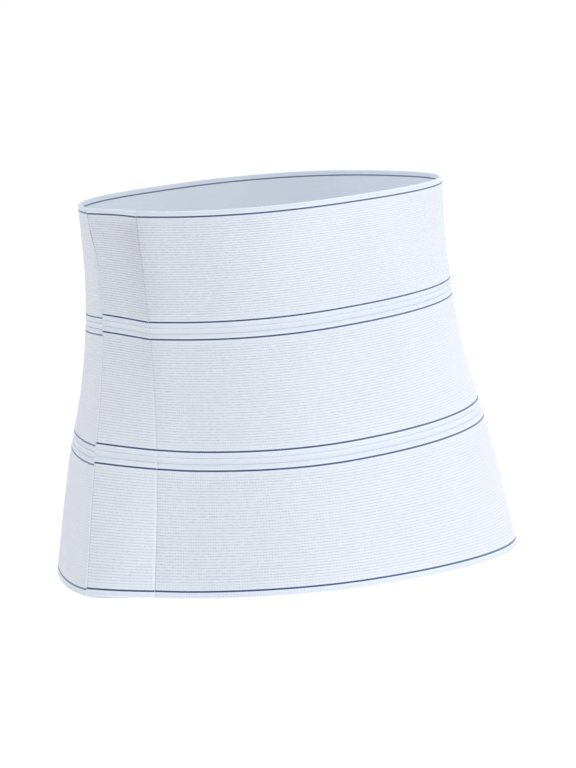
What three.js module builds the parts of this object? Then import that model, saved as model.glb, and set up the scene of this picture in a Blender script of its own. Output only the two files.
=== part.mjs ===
// Abdominal binder: three elastic panels joined edge to edge, wrapped once round
// the waist and hips and closed at the front by a flap with a hook patch behind it.
// Millimetres, +Z up, the wearer faces -Y and the wearer's left side is +X. The
// origin is the middle of the waist, where the body holds the binder up.
import * as THREE from 'three';

// Driving dimensions
const WAIST_WIDTH = 266; // side to side at the waist, outside the web
const WAIST_DEPTH = 191; // front to back at the waist, outside the web
const HEIGHT = 230; // of the cloth, from the top edge to the bottom edge
const JOIN_WIDTH = 3.6; // a joining strip, with its two grooves
const WEB_WALL = 1.8; // a stretched elastic panel
const JOIN_WALL = 1.4; // a joining strip
const FLAP_WIDTH = 73; // from the free edge to the stitched line at the flap's root
const HEM_WIDTH = 5; // free edge that lies down on the layer below
const PATCH_WALL = 1.2; // hook patch
const PATCH_MARGIN = 6; // patch to the binder's top and bottom edges
const PATCH_INSET = 2; // patch to the flap's hem and to its root
const UNDERLAP_INSET = 4; // end of the under layer, short of the flap's root
const STEP_DOWN = 24; // length of web past the root that settles on the body
const GAP = 0.3; // between pieces that touch

// Steps of the faceted pieces
const PANEL_ROWS = 5;
const FLAP_STEPS = 7;
const ROUND_STEPS = 68;

const COLOURS = { web: 0xe3e8f2, join: 0xeceaf1, patch: 0xd9dce4 };

// The form of the body at five heights. halfWidth is a share of WAIST_WIDTH, front
// and back are shares of WAIST_DEPTH, level and arch are shares of HEIGHT, tilt is
// the rise towards the back, and squareness below 1 fills out the corners of the
// oval. root is how far the flap's root lies to the wearer's left of the middle, as
// a share of WAIST_WIDTH. edge draws in the flap's free edge and sag flattens the
// flap, as shares of FLAP_WIDTH. As shares of HEIGHT, rise lifts the free edge, drop
// lowers the layer under it and hitch lifts the web on the wearer's right front.
const SECTIONS = [
  { down: 0.00, halfWidth: 0.550, front: 0.442, back: 0.495, squareness: 0.80, level: 0.226, tilt: 0.128,
    arch: 0.000, root: 0.106, edge: -0.138, sag: 0.040, rise: 0.000, drop: 0.000, hitch: 0.000 },
  { down: 0.25, halfWidth: 0.500, front: 0.445, back: 0.557, squareness: 0.85, level: 0.000, tilt: 0.146,
    arch: 0.003, root: 0.154, edge: 0.062, sag: 0.030, rise: 0.012, drop: -0.002, hitch: -0.004 },
  { down: 0.50, halfWidth: 0.532, front: 0.457, back: 0.613, squareness: 0.90, level: -0.234, tilt: 0.155,
    arch: 0.008, root: 0.198, edge: -0.021, sag: 0.015, rise: 0.009, drop: 0.003, hitch: 0.011 },
  { down: 0.75, halfWidth: 0.578, front: 0.508, back: 0.723, squareness: 0.96, level: -0.485, tilt: 0.139,
    arch: 0.009, root: 0.256, edge: -0.076, sag: 0.007, rise: 0.000, drop: 0.007, hitch: 0.044 },
  { down: 1.00, halfWidth: 0.614, front: 0.554, back: 0.833, squareness: 1.02, level: -0.753, tilt: 0.105,
    arch: -0.001, root: 0.285, edge: -0.037, sag: 0.011, rise: -0.008, drop: 0.012, hitch: 0.038 },
];

// Offset of the flap's outer face from the single layer's outer face, over the
// patch and at the free edge
const FLAP_LIFT = WEB_WALL + PATCH_WALL + 2 * GAP;
const EDGE_LIFT = WEB_WALL + GAP;
const PANEL_HEIGHT = (HEIGHT - 2 * JOIN_WIDTH) / 3;

// One column of SECTIONS at a share of the height, on a smooth curve through the rows
function column(name, down) {
  const last = SECTIONS.length - 1;
  const place = THREE.MathUtils.clamp(down, 0, 1) * last;
  const row = Math.min(Math.floor(place), last - 1);
  const at = (i) => SECTIONS[THREE.MathUtils.clamp(i, 0, last)][name];
  const slope = (i) => (at(i + 1) - at(i - 1)) / (i === 0 || i === last ? 1 : 2);
  const f = place - row;
  return at(row) * (2 * f ** 3 - 3 * f ** 2 + 1) + slope(row) * (f ** 3 - 2 * f ** 2 + f)
    + at(row + 1) * (3 * f ** 2 - 2 * f ** 3) + slope(row + 1) * (f ** 3 - f ** 2);
}

function smooth(value) {
  return THREE.MathUtils.smoothstep(value, 0, 1);
}

function power(value, exponent) {
  return Math.sign(value) * Math.abs(value) ** exponent;
}

// Distance across the flap, for a place x on the front
function acrossFlap(x, down) {
  return x - column('root', down) * WAIST_WIDTH + FLAP_WIDTH;
}

// Outer face of a single layer, at an angle counted from the middle of the front
// (0) through the wearer's left side (a quarter turn) to the back (half a turn)
function bodyPoint(angle, down) {
  const squareness = column('squareness', down);
  const forward = power(Math.cos(angle), squareness);
  const x = column('halfWidth', down) * WAIST_WIDTH * power(Math.sin(angle), squareness);
  const reach = column(forward > 0 ? 'front' : 'back', down) * WAIST_DEPTH;
  const across = acrossFlap(x, down) / FLAP_WIDTH;
  const onFlap = forward > 0 && across > 0 && across < 1;
  const sag = onFlap ? column('sag', down) * FLAP_WIDTH * (1 - (2 * across - 1) ** 2) : 0;
  const y = sag - reach * forward;
  const z = column('level', down) * HEIGHT + column('tilt', down) * y
    + column('arch', down) * HEIGHT * Math.cos(2 * angle);
  return new THREE.Vector3(x, y, z);
}

// Where the free edge lies across the flap
function freeEdge(down) {
  return column('edge', down) * FLAP_WIDTH;
}

function outwardNormal(angle, down) {
  const step = 1e-3;
  const round = bodyPoint(angle + step, down).sub(bodyPoint(angle - step, down));
  const fall = bodyPoint(angle, down + step).sub(bodyPoint(angle, down - step));
  return fall.cross(round).normalize();
}

// A point on one of the layers. station is { angle, across, turn }: across is the
// distance from where a straight free edge would lie, and turn is 0 up to the middle
// of the back and 1 from there round to the front again, under the flap.
function layerPoint(station, down, depth) {
  const { angle, across, turn } = station;
  const point = bodyPoint(angle, down);
  const fromEdge = across - freeEdge(down);
  let lift = 0;
  if (turn === 0 && across <= FLAP_WIDTH) {
    lift = EDGE_LIFT + (FLAP_LIFT - EDGE_LIFT) * smooth(fromEdge / HEM_WIDTH);
    point.z += column('rise', down) * HEIGHT * (1 - across / FLAP_WIDTH);
  } else if (turn === 0) {
    lift = FLAP_LIFT * (1 - smooth((across - FLAP_WIDTH) / STEP_DOWN));
  } else {
    const covered = across <= FLAP_WIDTH ? smooth(fromEdge / (FLAP_WIDTH - freeEdge(down))) : 0;
    const ahead = smooth(Math.max(Math.cos(angle), 0));
    point.z -= column('drop', down) * HEIGHT * ahead * (1 - covered);
    const fromBack = Math.min(angle / Math.PI - 1, 1);
    point.z += column('hitch', down) * HEIGHT * Math.sin(Math.PI * fromBack ** 2) ** 2;
  }
  return point.addScaledVector(outwardNormal(angle, down), lift - depth);
}

// Angle on the front whose place x is a distance across the flap
function flapAngle(across, down) {
  const x = column('root', down) * WAIST_WIDTH - FLAP_WIDTH + across;
  const share = Math.abs(x) / (column('halfWidth', down) * WAIST_WIDTH);
  return Math.sign(x) * Math.asin(share ** (1 / column('squareness', down)));
}

function flapStation(across, down, turn) {
  return { angle: flapAngle(across, down) + 2 * Math.PI * turn, across, turn };
}

// Evenly spaced stations round the body, from the flap's root to the free edge's place
function roundStations(down) {
  const from = flapAngle(FLAP_WIDTH, down);
  const to = flapAngle(freeEdge(down), down) + 2 * Math.PI;
  const samples = 720;
  const lengths = [0];
  let before = bodyPoint(from, down);
  for (let i = 1; i <= samples; i += 1) {
    const point = bodyPoint(from + ((to - from) * i) / samples, down);
    lengths.push(lengths[i - 1] + point.distanceTo(before));
    before = point;
  }
  const total = lengths[samples];
  const stations = [];
  let i = 0;
  for (let step = 1; step < ROUND_STEPS; step += 1) {
    const length = (total * step) / ROUND_STEPS;
    while (lengths[i + 1] < length) i += 1;
    const share = i + (length - lengths[i]) / (lengths[i + 1] - lengths[i]);
    const angle = from + ((to - from) * share) / samples;
    const turn = angle > Math.PI ? 1 : 0;
    stations.push({ angle, across: FLAP_WIDTH + length, turn });
  }
  return stations;
}

// Even steps between two values
function spread(from, to, steps) {
  return [...Array(steps + 1).keys()].map((i) => from + ((to - from) * i) / steps);
}

// Distances across the flap: its free edge, its hem and even steps to its root
function flapDistances(down) {
  const edge = freeEdge(down);
  return [edge, ...spread(edge + HEM_WIDTH, FLAP_WIDTH, FLAP_STEPS)];
}

// Stations of the whole wrap, from the free edge to the end under the flap
function wrapStations(down) {
  const end = FLAP_WIDTH - UNDERLAP_INSET;
  const under = [...flapDistances(down).slice(0, -1), end];
  return [
    ...flapDistances(down).map((across) => flapStation(across, down, 0)),
    ...roundStations(down),
    ...under.map((across) => flapStation(across, down, 1)),
  ];
}

function patchStations(down) {
  const from = freeEdge(down) + HEM_WIDTH + PATCH_INSET;
  const distances = spread(from, FLAP_WIDTH - PATCH_INSET, FLAP_STEPS);
  return distances.map((across) => flapStation(across, down, 0));
}

// Closed sheet between an outer and an inner face, over rows of stations
function sheetGeometry(rows, stationsAt, outerDepth, innerDepth) {
  const positions = [];
  let count = 0;
  for (const depth of [outerDepth, innerDepth]) {
    for (const down of rows) {
      const stations = stationsAt(down);
      count = stations.length;
      for (const station of stations) {
        positions.push(...layerPoint(station, down, depth).toArray());
      }
    }
  }
  const face = rows.length * count;
  const outer = (row, i) => row * count + i;
  const inner = (row, i) => face + row * count + i;
  const indices = [];
  const quad = (a, b, c, d) => indices.push(a, b, c, a, c, d);
  for (let row = 0; row < rows.length - 1; row += 1) {
    for (let i = 0; i < count - 1; i += 1) {
      quad(outer(row, i), outer(row + 1, i), outer(row + 1, i + 1), outer(row, i + 1));
      quad(inner(row, i), inner(row, i + 1), inner(row + 1, i + 1), inner(row + 1, i));
    }
    quad(outer(row, 0), inner(row, 0), inner(row + 1, 0), outer(row + 1, 0));
    const end = count - 1;
    quad(outer(row, end), outer(row + 1, end), inner(row + 1, end), inner(row, end));
  }
  const bottom = rows.length - 1;
  for (let i = 0; i < count - 1; i += 1) {
    quad(outer(0, i), outer(0, i + 1), inner(0, i + 1), inner(0, i));
    quad(outer(bottom, i), inner(bottom, i), inner(bottom, i + 1), outer(bottom, i + 1));
  }
  const geometry = new THREE.BufferGeometry();
  geometry.setAttribute('position', new THREE.Float32BufferAttribute(positions, 3));
  geometry.setIndex(indices);
  geometry.computeVertexNormals();
  return geometry;
}

// Heights from one place down the cloth to another, as shares of HEIGHT
function rowsBetween(from, to, steps) {
  return spread(from, to, steps).map((place) => place / HEIGHT);
}

function cloth(name, geometry, colour) {
  const material = new THREE.MeshStandardMaterial({ color: colour, roughness: 0.9, metalness: 0 });
  const mesh = new THREE.Mesh(geometry, material);
  mesh.name = name;
  return mesh;
}

function panel(name, index) {
  const from = index * (PANEL_HEIGHT + JOIN_WIDTH);
  const rows = rowsBetween(from, from + PANEL_HEIGHT, PANEL_ROWS);
  return cloth(name, sheetGeometry(rows, wrapStations, 0, WEB_WALL), COLOURS.web);
}

function joinStrip(name, index) {
  const from = PANEL_HEIGHT + index * (PANEL_HEIGHT + JOIN_WIDTH) + GAP;
  const rows = rowsBetween(from, from + JOIN_WIDTH - 2 * GAP, 1);
  const recess = (WEB_WALL - JOIN_WALL) / 2;
  const geometry = sheetGeometry(rows, wrapStations, recess, WEB_WALL - recess);
  return cloth(name, geometry, COLOURS.join);
}

// The patch hangs behind the flap, a gap below its inner face
function hookPatch() {
  const rows = rowsBetween(PATCH_MARGIN, HEIGHT - PATCH_MARGIN, 3 * PANEL_ROWS);
  const outerDepth = WEB_WALL + GAP;
  const geometry = sheetGeometry(rows, patchStations, outerDepth, outerDepth + PATCH_WALL);
  return cloth('hook_patch', geometry, COLOURS.patch);
}

const binder = new THREE.Group();
binder.add(
  panel('upper_panel', 0),
  joinStrip('upper_join_strip', 0),
  panel('middle_panel', 1),
  joinStrip('lower_join_strip', 1),
  panel('lower_panel', 2),
  hookPatch(),
);

export default binder;
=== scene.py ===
# %% [markdown]
# Abdominal binder. The real thing is three bands of ribbed elastic webbing, joined edge to
# edge by two narrow tapes, wrapped round the waist and closed at the front by a flap with a
# hook patch behind it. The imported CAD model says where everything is, in metres: +Z is up,
# the wearer faces -Y, and the wearer's left side is +X. The first step is to load it.

# %% Load the fixed frame
import math

import bpy
import numpy as np
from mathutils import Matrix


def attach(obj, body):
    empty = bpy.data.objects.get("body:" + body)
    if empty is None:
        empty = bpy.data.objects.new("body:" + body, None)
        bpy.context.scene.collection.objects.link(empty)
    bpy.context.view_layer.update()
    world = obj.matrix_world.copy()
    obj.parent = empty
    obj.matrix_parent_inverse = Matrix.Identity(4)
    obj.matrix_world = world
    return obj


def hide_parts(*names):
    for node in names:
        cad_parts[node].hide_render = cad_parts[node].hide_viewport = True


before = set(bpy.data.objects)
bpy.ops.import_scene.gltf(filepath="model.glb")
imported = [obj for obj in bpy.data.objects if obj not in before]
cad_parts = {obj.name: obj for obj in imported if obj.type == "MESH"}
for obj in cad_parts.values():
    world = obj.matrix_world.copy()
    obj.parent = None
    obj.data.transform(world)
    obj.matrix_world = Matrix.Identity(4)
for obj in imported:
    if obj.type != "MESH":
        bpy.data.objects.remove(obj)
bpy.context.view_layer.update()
MM = 0.001

# %% [markdown]
# The sizes are those of the CAD source, in millimetres. A piece that replaces a CAD node has
# to lie where the node lies, so it starts from the same values. They could be read off the
# loaded meshes, but a named size says what it is, and the formulas below then read as the
# pattern of a real binder would.

# %% Sizes of the binder
WAIST_WIDTH = 266.0
WAIST_DEPTH = 191.0
HEIGHT = 230.0
JOIN_WIDTH = 3.6
WEB_WALL = 1.8
JOIN_WALL = 1.4
FLAP_WIDTH = 73.0
HEM_WIDTH = 5.0
PATCH_WALL = 1.2
PATCH_MARGIN = 6.0
PATCH_INSET = 2.0
UNDERLAP_INSET = 4.0
STEP_DOWN = 24.0
GAP = 0.3
FLAP_LIFT = WEB_WALL + PATCH_WALL + 2 * GAP
EDGE_LIFT = WEB_WALL + GAP
PANEL_HEIGHT = (HEIGHT - 2 * JOIN_WIDTH) / 3
print(f"three panels of {PANEL_HEIGHT:.2f} mm make the binder {HEIGHT} mm high")

# %% [markdown]
# Webbing is woven as a band, so its ribs, stripes and selvedges are counted from the band's
# own edges, and they follow it wherever it bends. The relaxed length is what one band
# measures before it is put on: the flap, the round and the end that goes under the flap.

# %% Sizes of the weave
STRIPE = 0.95
SELVEDGE = 3.6 - STRIPE / 2
RIBS = 42
RIB_PITCH = (PANEL_HEIGHT - 2 * (SELVEDGE + STRIPE)) / RIBS
RELAXED_LENGTH = 760.0
UNDER_LENGTH = FLAP_WIDTH - UNDERLAP_INSET
ROUND_LENGTH = RELAXED_LENGTH - FLAP_WIDTH - UNDER_LENGTH
UNDER_START = FLAP_WIDTH + ROUND_LENGTH
print(f"each panel has {RIBS} ribs {RIB_PITCH:.2f} mm apart, and {ROUND_LENGTH} mm goes round the body")

# %% [markdown]
# A worn binder takes the form of the body: narrow at the waist, wide at the hips. It could
# be sculpted or draped over a figure, but five sections down the height give the same form
# in numbers that can be read and changed. A smooth curve runs through them. Each section is
# an oval whose corners are filled out by a power below one, down to a nearly plain oval at
# the hips. All lengths in the table are shares of the named sizes.

# %% The form of the body at five heights
SECTION_NAMES = "halfWidth front back squareness level tilt arch root edge sag rise drop hitch".split()
SECTION_ROWS = np.array([
    [0.550, 0.442, 0.495, 0.80, 0.226, 0.128, 0.000, 0.106, -0.138, 0.040, 0.000, 0.000, 0.000],
    [0.500, 0.445, 0.557, 0.85, 0.000, 0.146, 0.003, 0.154, 0.062, 0.030, 0.012, -0.002, -0.004],
    [0.532, 0.457, 0.613, 0.90, -0.234, 0.155, 0.008, 0.198, -0.021, 0.015, 0.009, 0.003, 0.011],
    [0.578, 0.508, 0.723, 0.96, -0.485, 0.139, 0.009, 0.256, -0.076, 0.007, 0.000, 0.007, 0.044],
    [0.614, 0.554, 0.833, 1.02, -0.753, 0.105, -0.001, 0.285, -0.037, 0.011, -0.008, 0.012, 0.038],
])


def section(name, down):
    """One measure of the body at shares of the height, on a smooth curve through the rows."""
    values = SECTION_ROWS[:, SECTION_NAMES.index(name)]
    slopes = np.gradient(values)
    place = np.clip(down, 0, 1) * (len(values) - 1)
    row = np.minimum(place.astype(int), len(values) - 2)
    f = place - row
    return (
        values[row] * (2 * f**3 - 3 * f**2 + 1) + slopes[row] * (f**3 - 2 * f**2 + f)
        + values[row + 1] * (3 * f**2 - 2 * f**3) + slopes[row + 1] * (f**3 - f**2)
    )


def smooth(value):
    """A soft step from none to one."""
    value = np.clip(value, 0, 1)
    return value * value * (3 - 2 * value)


# %% A point on the body
def body_point(angle, down):
    """The outer face of a single layer, in millimetres. The angle is 0 at the front."""
    squareness = section("squareness", down)
    forward = np.sign(np.cos(angle)) * np.abs(np.cos(angle)) ** squareness
    aside = np.sign(np.sin(angle)) * np.abs(np.sin(angle)) ** squareness
    x = section("halfWidth", down) * WAIST_WIDTH * aside
    reach = np.where(forward > 0, section("front", down), section("back", down)) * WAIST_DEPTH
    across = (x - section("root", down) * WAIST_WIDTH + FLAP_WIDTH) / FLAP_WIDTH
    on_flap = (forward > 0) & (across > 0) & (across < 1)
    sag = np.where(on_flap, section("sag", down) * FLAP_WIDTH * (1 - (2 * across - 1) ** 2), 0)
    y = sag - reach * forward
    z = section("level", down) * HEIGHT + section("tilt", down) * y
    z = z + section("arch", down) * HEIGHT * np.cos(2 * angle)
    return np.stack([x, y, z], -1)


WAIST_SHARE = 0.25
quarters = body_point(np.radians([0.0, 90.0, 180.0, 270.0]), np.full(4, WAIST_SHARE))
print("waist at front, left, back and right:", quarters.round(1).tolist())

# %% [markdown]
# The web goes once round the body and then on under its own flap, so one panel is one long
# sheet in three lengths: the flap, the round and the under layer. Separate pieces for the
# flap and the rest would be easier to place, but the real stripes run on through the root
# without a break. Each station along the sheet has an angle on the body.

# %% Angles across the flap and round the body
FLAP, ROUND, UNDER = 0, 1, 2
ROUND_SAMPLES = 721


def flap_angle(across, down):
    """The angle on the front at a distance across the flap from its free edge's line."""
    x = section("root", down) * WAIST_WIDTH - FLAP_WIDTH + across
    share = np.abs(x) / (section("halfWidth", down) * WAIST_WIDTH)
    return np.sign(x) * np.arcsin(share ** (1 / section("squareness", down)))


def free_edge(down):
    """How far the flap's free edge lies from its straight line."""
    return section("edge", down) * FLAP_WIDTH


def round_angles(down, shares):
    """Angles at even shares of the way round the body, for one height."""
    ends = [flap_angle(np.array(FLAP_WIDTH), down), flap_angle(free_edge(down), down) + 2 * np.pi]
    angles = np.linspace(*ends, ROUND_SAMPLES)
    points = body_point(angles, np.full(ROUND_SAMPLES, down))
    lengths = np.concatenate([[0], np.cumsum(np.linalg.norm(np.diff(points, axis=0), axis=1))])
    return np.interp(shares * lengths[-1], lengths, angles), shares * lengths[-1]


edge_at_waist = float(free_edge(np.array(WAIST_SHARE)))
print(f"at the waist the free edge lies {edge_at_waist:.1f} mm from its straight line")

# %% [markdown]
# Each layer is lifted off the one below it along the surface's normal. The flap lies on the
# hook patch, the patch on the under layer, and past the root the web comes down to the body
# over a short length. On the wearer's right it rides up a little on its way to the front.

# %% A point on a layer
def outward_normal(angle, down):
    """The direction straight out of the body's surface."""
    step = 1e-3
    around = body_point(angle + step, down) - body_point(angle - step, down)
    fall = body_point(angle, down + step) - body_point(angle, down - step)
    normal = np.cross(fall, around)
    return normal / np.linalg.norm(normal, axis=-1, keepdims=True)


def layer_point(angle, across, turn, down, depth):
    """A point at a depth below the web's outer face, in metres."""
    point = body_point(angle, down)
    on_flap = (turn == 0) & (across <= FLAP_WIDTH)
    from_edge = across - free_edge(down)
    flap_lift = EDGE_LIFT + (FLAP_LIFT - EDGE_LIFT) * smooth(from_edge / HEM_WIDTH)
    root_lift = FLAP_LIFT * (1 - smooth((across - FLAP_WIDTH) / STEP_DOWN))
    lift = np.where(on_flap, flap_lift, np.where(turn == 0, root_lift, 0))
    rise = section("rise", down) * HEIGHT * (1 - across / FLAP_WIDTH)
    covered = np.where(across <= FLAP_WIDTH, smooth(from_edge / (FLAP_WIDTH - free_edge(down))), 0)
    drop = section("drop", down) * HEIGHT * smooth(np.cos(angle)) * (1 - covered)
    from_back = np.clip(angle / np.pi - 1, 0, 1)
    hitch = section("hitch", down) * HEIGHT * np.sin(np.pi * from_back**2) ** 2
    point[..., 2] += np.where(on_flap, rise, np.where(turn == 1, hitch - drop, 0))
    return (point + outward_normal(angle, down) * (lift - depth)[..., None]) * MM


def wrap_stations(down, plan):
    """Angle, distance across and turn of each station in the plan, for one height."""
    edge, down = free_edge(np.array(down)), np.array(down)
    flap = edge + (FLAP_WIDTH - edge) * plan[FLAP]
    angles, lengths = round_angles(down, plan[ROUND])
    under = edge + (FLAP_WIDTH - UNDERLAP_INSET - edge) * plan[UNDER]
    angle = np.concatenate([flap_angle(flap, down), angles, flap_angle(under, down) + 2 * np.pi])
    across = np.concatenate([flap, FLAP_WIDTH + lengths, under])
    turn = np.concatenate([0 * flap, (angles > np.pi) * 1.0, 0 * under + 1])
    return angle, across, turn


# %% [markdown]
# Even stations would need thousands of them to round off the ends. Here they lie closer
# together only where the form is fine: at the hem, at the stitched root of the flap and at
# the two ends of the web. Along the round they are 5 to 6 mm apart, which keeps a chord
# within a tenth of a millimetre of the curve. Places are kept as shares of each length.

# %% The plan of stations
HEM_ZONE = (1.6, 7.0)
ROOT_ZONE = 4.5
END_ZONE = 1.0
HEM_STATIONS, WIDE_STATIONS, ROOT_STATIONS = 7, 25, 9
ROUND_STATIONS, UNDER_STATIONS = 140, 13
end_steps = np.array([0, 0.2, 0.5, END_ZONE]) / FLAP_WIDTH
hem_steps = np.linspace(*HEM_ZONE, HEM_STATIONS, endpoint=False) / FLAP_WIDTH
root_steps = 1 - np.linspace(ROOT_ZONE, 0, ROOT_STATIONS) / FLAP_WIDTH
wide_steps = np.linspace(HEM_ZONE[1] / FLAP_WIDTH, root_steps[0], WIDE_STATIONS, endpoint=False)
flap_plan = np.concatenate([end_steps, hem_steps, wide_steps, root_steps])
round_steps = np.linspace(0.006, 1, ROUND_STATIONS, endpoint=False)
round_plan = np.concatenate([[0.0012, 0.0025, 0.004], round_steps])
under_steps = np.linspace(0, 1 - END_ZONE / FLAP_WIDTH, UNDER_STATIONS)
under_plan = np.concatenate([under_steps, 1 - end_steps[::-1][1:]])
PLAN = {FLAP: flap_plan, ROUND: round_plan, UNDER: under_plan}
web_u = np.concatenate([
    flap_plan * FLAP_WIDTH, FLAP_WIDTH + round_plan * ROUND_LENGTH, UNDER_START + under_plan * UNDER_LENGTH,
])
print(len(web_u), "stations along the web, which lies flat over", RELAXED_LENGTH, "mm")

# %% [markdown]
# Sewing pulls the web in. Beside the hem's stitches and at the root of the flap its outer
# face dips by a fraction of a millimetre, and the folded hem puffs up between its edge and
# its stitches. A bump in the finish would look alike from the front, but a real dip also
# shows where the light grazes it.

# %% How far the seams pull the web in
HEM_SEAM = 4.2
ROOT_SEAM = FLAP_WIDTH - 1.0
SEAM_DIP = 0.35
SEAM_REACH = 0.65
HEM_PUFF = 0.15
PUFF_REACH = 1.2


def seam_dip(along):
    """How deep the outer face lies at places along the web, in millimetres."""
    hem = SEAM_DIP * np.exp(-(((along - HEM_SEAM) / SEAM_REACH) ** 2))
    root = SEAM_DIP * np.exp(-(((along - ROOT_SEAM) / SEAM_REACH) ** 2))
    fold = HEM_PUFF * np.exp(-(((along - HEM_SEAM / 2) / PUFF_REACH) ** 2))
    return hem + root - fold


print("deepest dip of the web:", round(float(seam_dip(web_u).max()), 2), "mm")

# %% [markdown]
# A band of webbing in section is a long flat loop: the outer face, a rounded selvedge, the
# inner face and the other selvedge. A plane with a Solidify modifier would give square
# edges and no way to dip one face alone, so the loop itself is swept along the stations and
# closed at both ends. The mesh carries its own map in millimetres along and down the web,
# and two attributes for the finish: how far down the binder and how far outside a point is.

# %% The loop round a band
ROUND_END = 0.9
THINNEST = 0.12


def web_section(rows, wall, top, roundness):
    """Heights and depths of the loop round a band of the given wall."""
    swing = np.radians([-90, -50, 0, 50, 90])
    low, high = rows[0], rows[-1]
    bulge = roundness * (1 - np.cos(swing))
    depth = top + wall / 2 * (1 - np.sin(swing))
    inner = rows[1:-1]
    heights = np.concatenate([low + bulge, inner, (high - bulge)[::-1], inner[::-1]])
    depths = np.concatenate([depth, 0 * inner + top, depth[::-1], 0 * inner + top + wall])
    return heights, depths


def loop_faces(loop, count):
    """Faces of a loop swept over a count of stations, with a cap at each end."""
    index = np.arange(loop * count).reshape(loop, count)
    ahead = np.roll(index, -1, axis=0)
    sides = np.stack([index[:, :-1], ahead[:, :-1], ahead[:, 1:], index[:, 1:]], -1).reshape(-1, 4)
    half = loop // 2
    cap = np.stack([
        np.arange(half), np.arange(1, half + 1), -np.arange(2, half + 2), -np.arange(1, half + 1),
    ], -1)
    cap = np.where(cap < 0, cap + loop, cap)[: half - 1]
    return np.concatenate([sides, index[cap[:, ::-1], 0], index[cap, count - 1]])


# %% The loop swept along the stations
def swept_web(name, heights, depths, stations_at, along, origin, wall, top):
    """A mesh of the loop at every station, with the web's own map in millimetres."""
    columns = [stations_at(h / HEIGHT) for h in heights]
    angle, across, turn = (np.array([c[i] for c in columns]) for i in range(3))
    loop, count = angle.shape
    down = np.repeat((heights / HEIGHT)[:, None], count, 1)
    from_end = np.minimum(along - along[0], along[-1] - along)
    squeeze = np.sqrt(np.clip(1 - (1 - np.clip(from_end / ROUND_END, 0, 1)) ** 2, THINNEST, 1))
    middle_depth = top + wall / 2
    depth = middle_depth + (depths[:, None] - middle_depth) * squeeze[None, :]
    outer = np.clip((middle_depth - depths) / (wall / 2), 0, 1)
    depth = depth + outer[:, None] * seam_dip(along)[None, :]
    points = layer_point(angle, across, turn, down, depth)
    mesh = bpy.data.meshes.new(name)
    mesh.from_pydata(points.reshape(-1, 3).tolist(), [], loop_faces(loop, count).tolist())
    place = np.stack(np.broadcast_arrays(along[None, :], (heights - origin)[:, None]), -1).reshape(-1, 2)
    corner = np.empty(len(mesh.loops), dtype=np.int32)
    mesh.loops.foreach_get("vertex_index", corner)
    mesh.uv_layers.new(name="web_mm").uv.foreach_set("vector", place[corner].astype(np.float32).ravel())
    facing = np.repeat(outer[:, None], count, 1)
    for label, values in (("down_share", down), ("outer_face", facing)):
        data = mesh.attributes.new(label, "FLOAT", "POINT").data
        data.foreach_set("value", values.astype(np.float32).ravel())
    mesh.shade_smooth()
    mesh.validate()
    return shown(name, mesh)


def shown(name, mesh):
    """An object of the mesh, in the scene."""
    piece = bpy.data.objects.new(name, mesh)
    bpy.context.scene.collection.objects.link(piece)
    return piece


# %% [markdown]
# The three panels differ only in the height at which they start. A rib needs four rows of
# points to read as a wave, so the rows follow the weave, and the flat selvedges and stripes
# have a few rows of their own.

# %% The three panels
ROWS_PER_RIB = 4
EDGE_ROWS = np.array([0.0, 0.9, 1.8, 2.8, 3.5, 3.75, 4.1, 4.4])
EDGE_ROUNDNESS = 0.6
rib_rows = SELVEDGE + STRIPE + np.arange(ROWS_PER_RIB * RIBS + 1) * RIB_PITCH / ROWS_PER_RIB
panel_rows = np.concatenate([EDGE_ROWS, rib_rows, PANEL_HEIGHT - EDGE_ROWS[::-1]])
panels = []
for number, name in enumerate(["upper_panel", "middle_panel", "lower_panel"]):
    start = number * (PANEL_HEIGHT + JOIN_WIDTH)
    heights, depths = web_section(start + panel_rows, WEB_WALL, 0, EDGE_ROUNDNESS)
    web = swept_web(
        f"{name}_web", heights, depths, lambda d: wrap_stations(d, PLAN), web_u, start, WEB_WALL, 0
    )
    panels.append(web)
    print(web.name, len(web.data.polygons), "faces")

# %% [markdown]
# Nodes are added by one small function, for shapes and finishes alike. It sets a node's
# options and joins or fills its inputs, and a node given as an input stands for its output.
# Two kinds of node have inputs that are easier to read by a word than by their number: the
# Map Range, which turns one range into another, and the colour Mix.

# %% One helper for nodes, one for colours, one for materials
VALUE, START, END, AT_START, AT_END = range(5)
COLOUR_A, COLOUR_B = 6, 7


def node(tree, kind, inputs=(), **settings):
    """Adds a node with its settings, and links or sets its inputs."""
    made = tree.nodes.new(kind)
    for key, value in settings.items():
        setattr(made, key, value)
    for key, value in dict(inputs).items():
        if isinstance(value, bpy.types.Node):
            value = next(out for out in value.outputs if out.enabled)
        if isinstance(value, bpy.types.NodeSocket):
            tree.links.new(value, made.inputs[key])
        else:
            made.inputs[key].default_value = value
    return made


def colour(code):
    """An sRGB hex value as the linear colour that nodes take."""
    parts = [int(code[i : i + 2], 16) / 255 for i in (1, 3, 5)]
    return [*(p / 12.92 if p <= 0.04045 else ((p + 0.055) / 1.055) ** 2.4 for p in parts), 1.0]


def new_material(name):
    """An empty node material."""
    made = bpy.data.materials.new(name)
    made.use_nodes = True
    made.node_tree.nodes.clear()
    return made


# %% [markdown]
# The ribs are real relief: each is a rubber yarn laid in along the web, wrapped by the
# weave. Modelling 42 of them by hand, three times over, would fix their number for good.
# Geometry Nodes raise them by a wave that reads how far down the panel each point lies, so
# their height and spacing stay named inputs. They are flatter on the inside and gone in the
# hem. The blue stripes are a thicker warp yarn, a slight ridge, and the selvedges stay flat.

# %% Geometry Nodes for the ribs
web_finish = new_material("woven_elastic_webbing")
RIB_INPUTS = ("Rib pitch", "Rib height", "First rib", "Panel height", "Stripe height", "Inside share")
HEM_END = (HEM_SEAM - 0.6, HEM_SEAM + 0.2)


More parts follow.
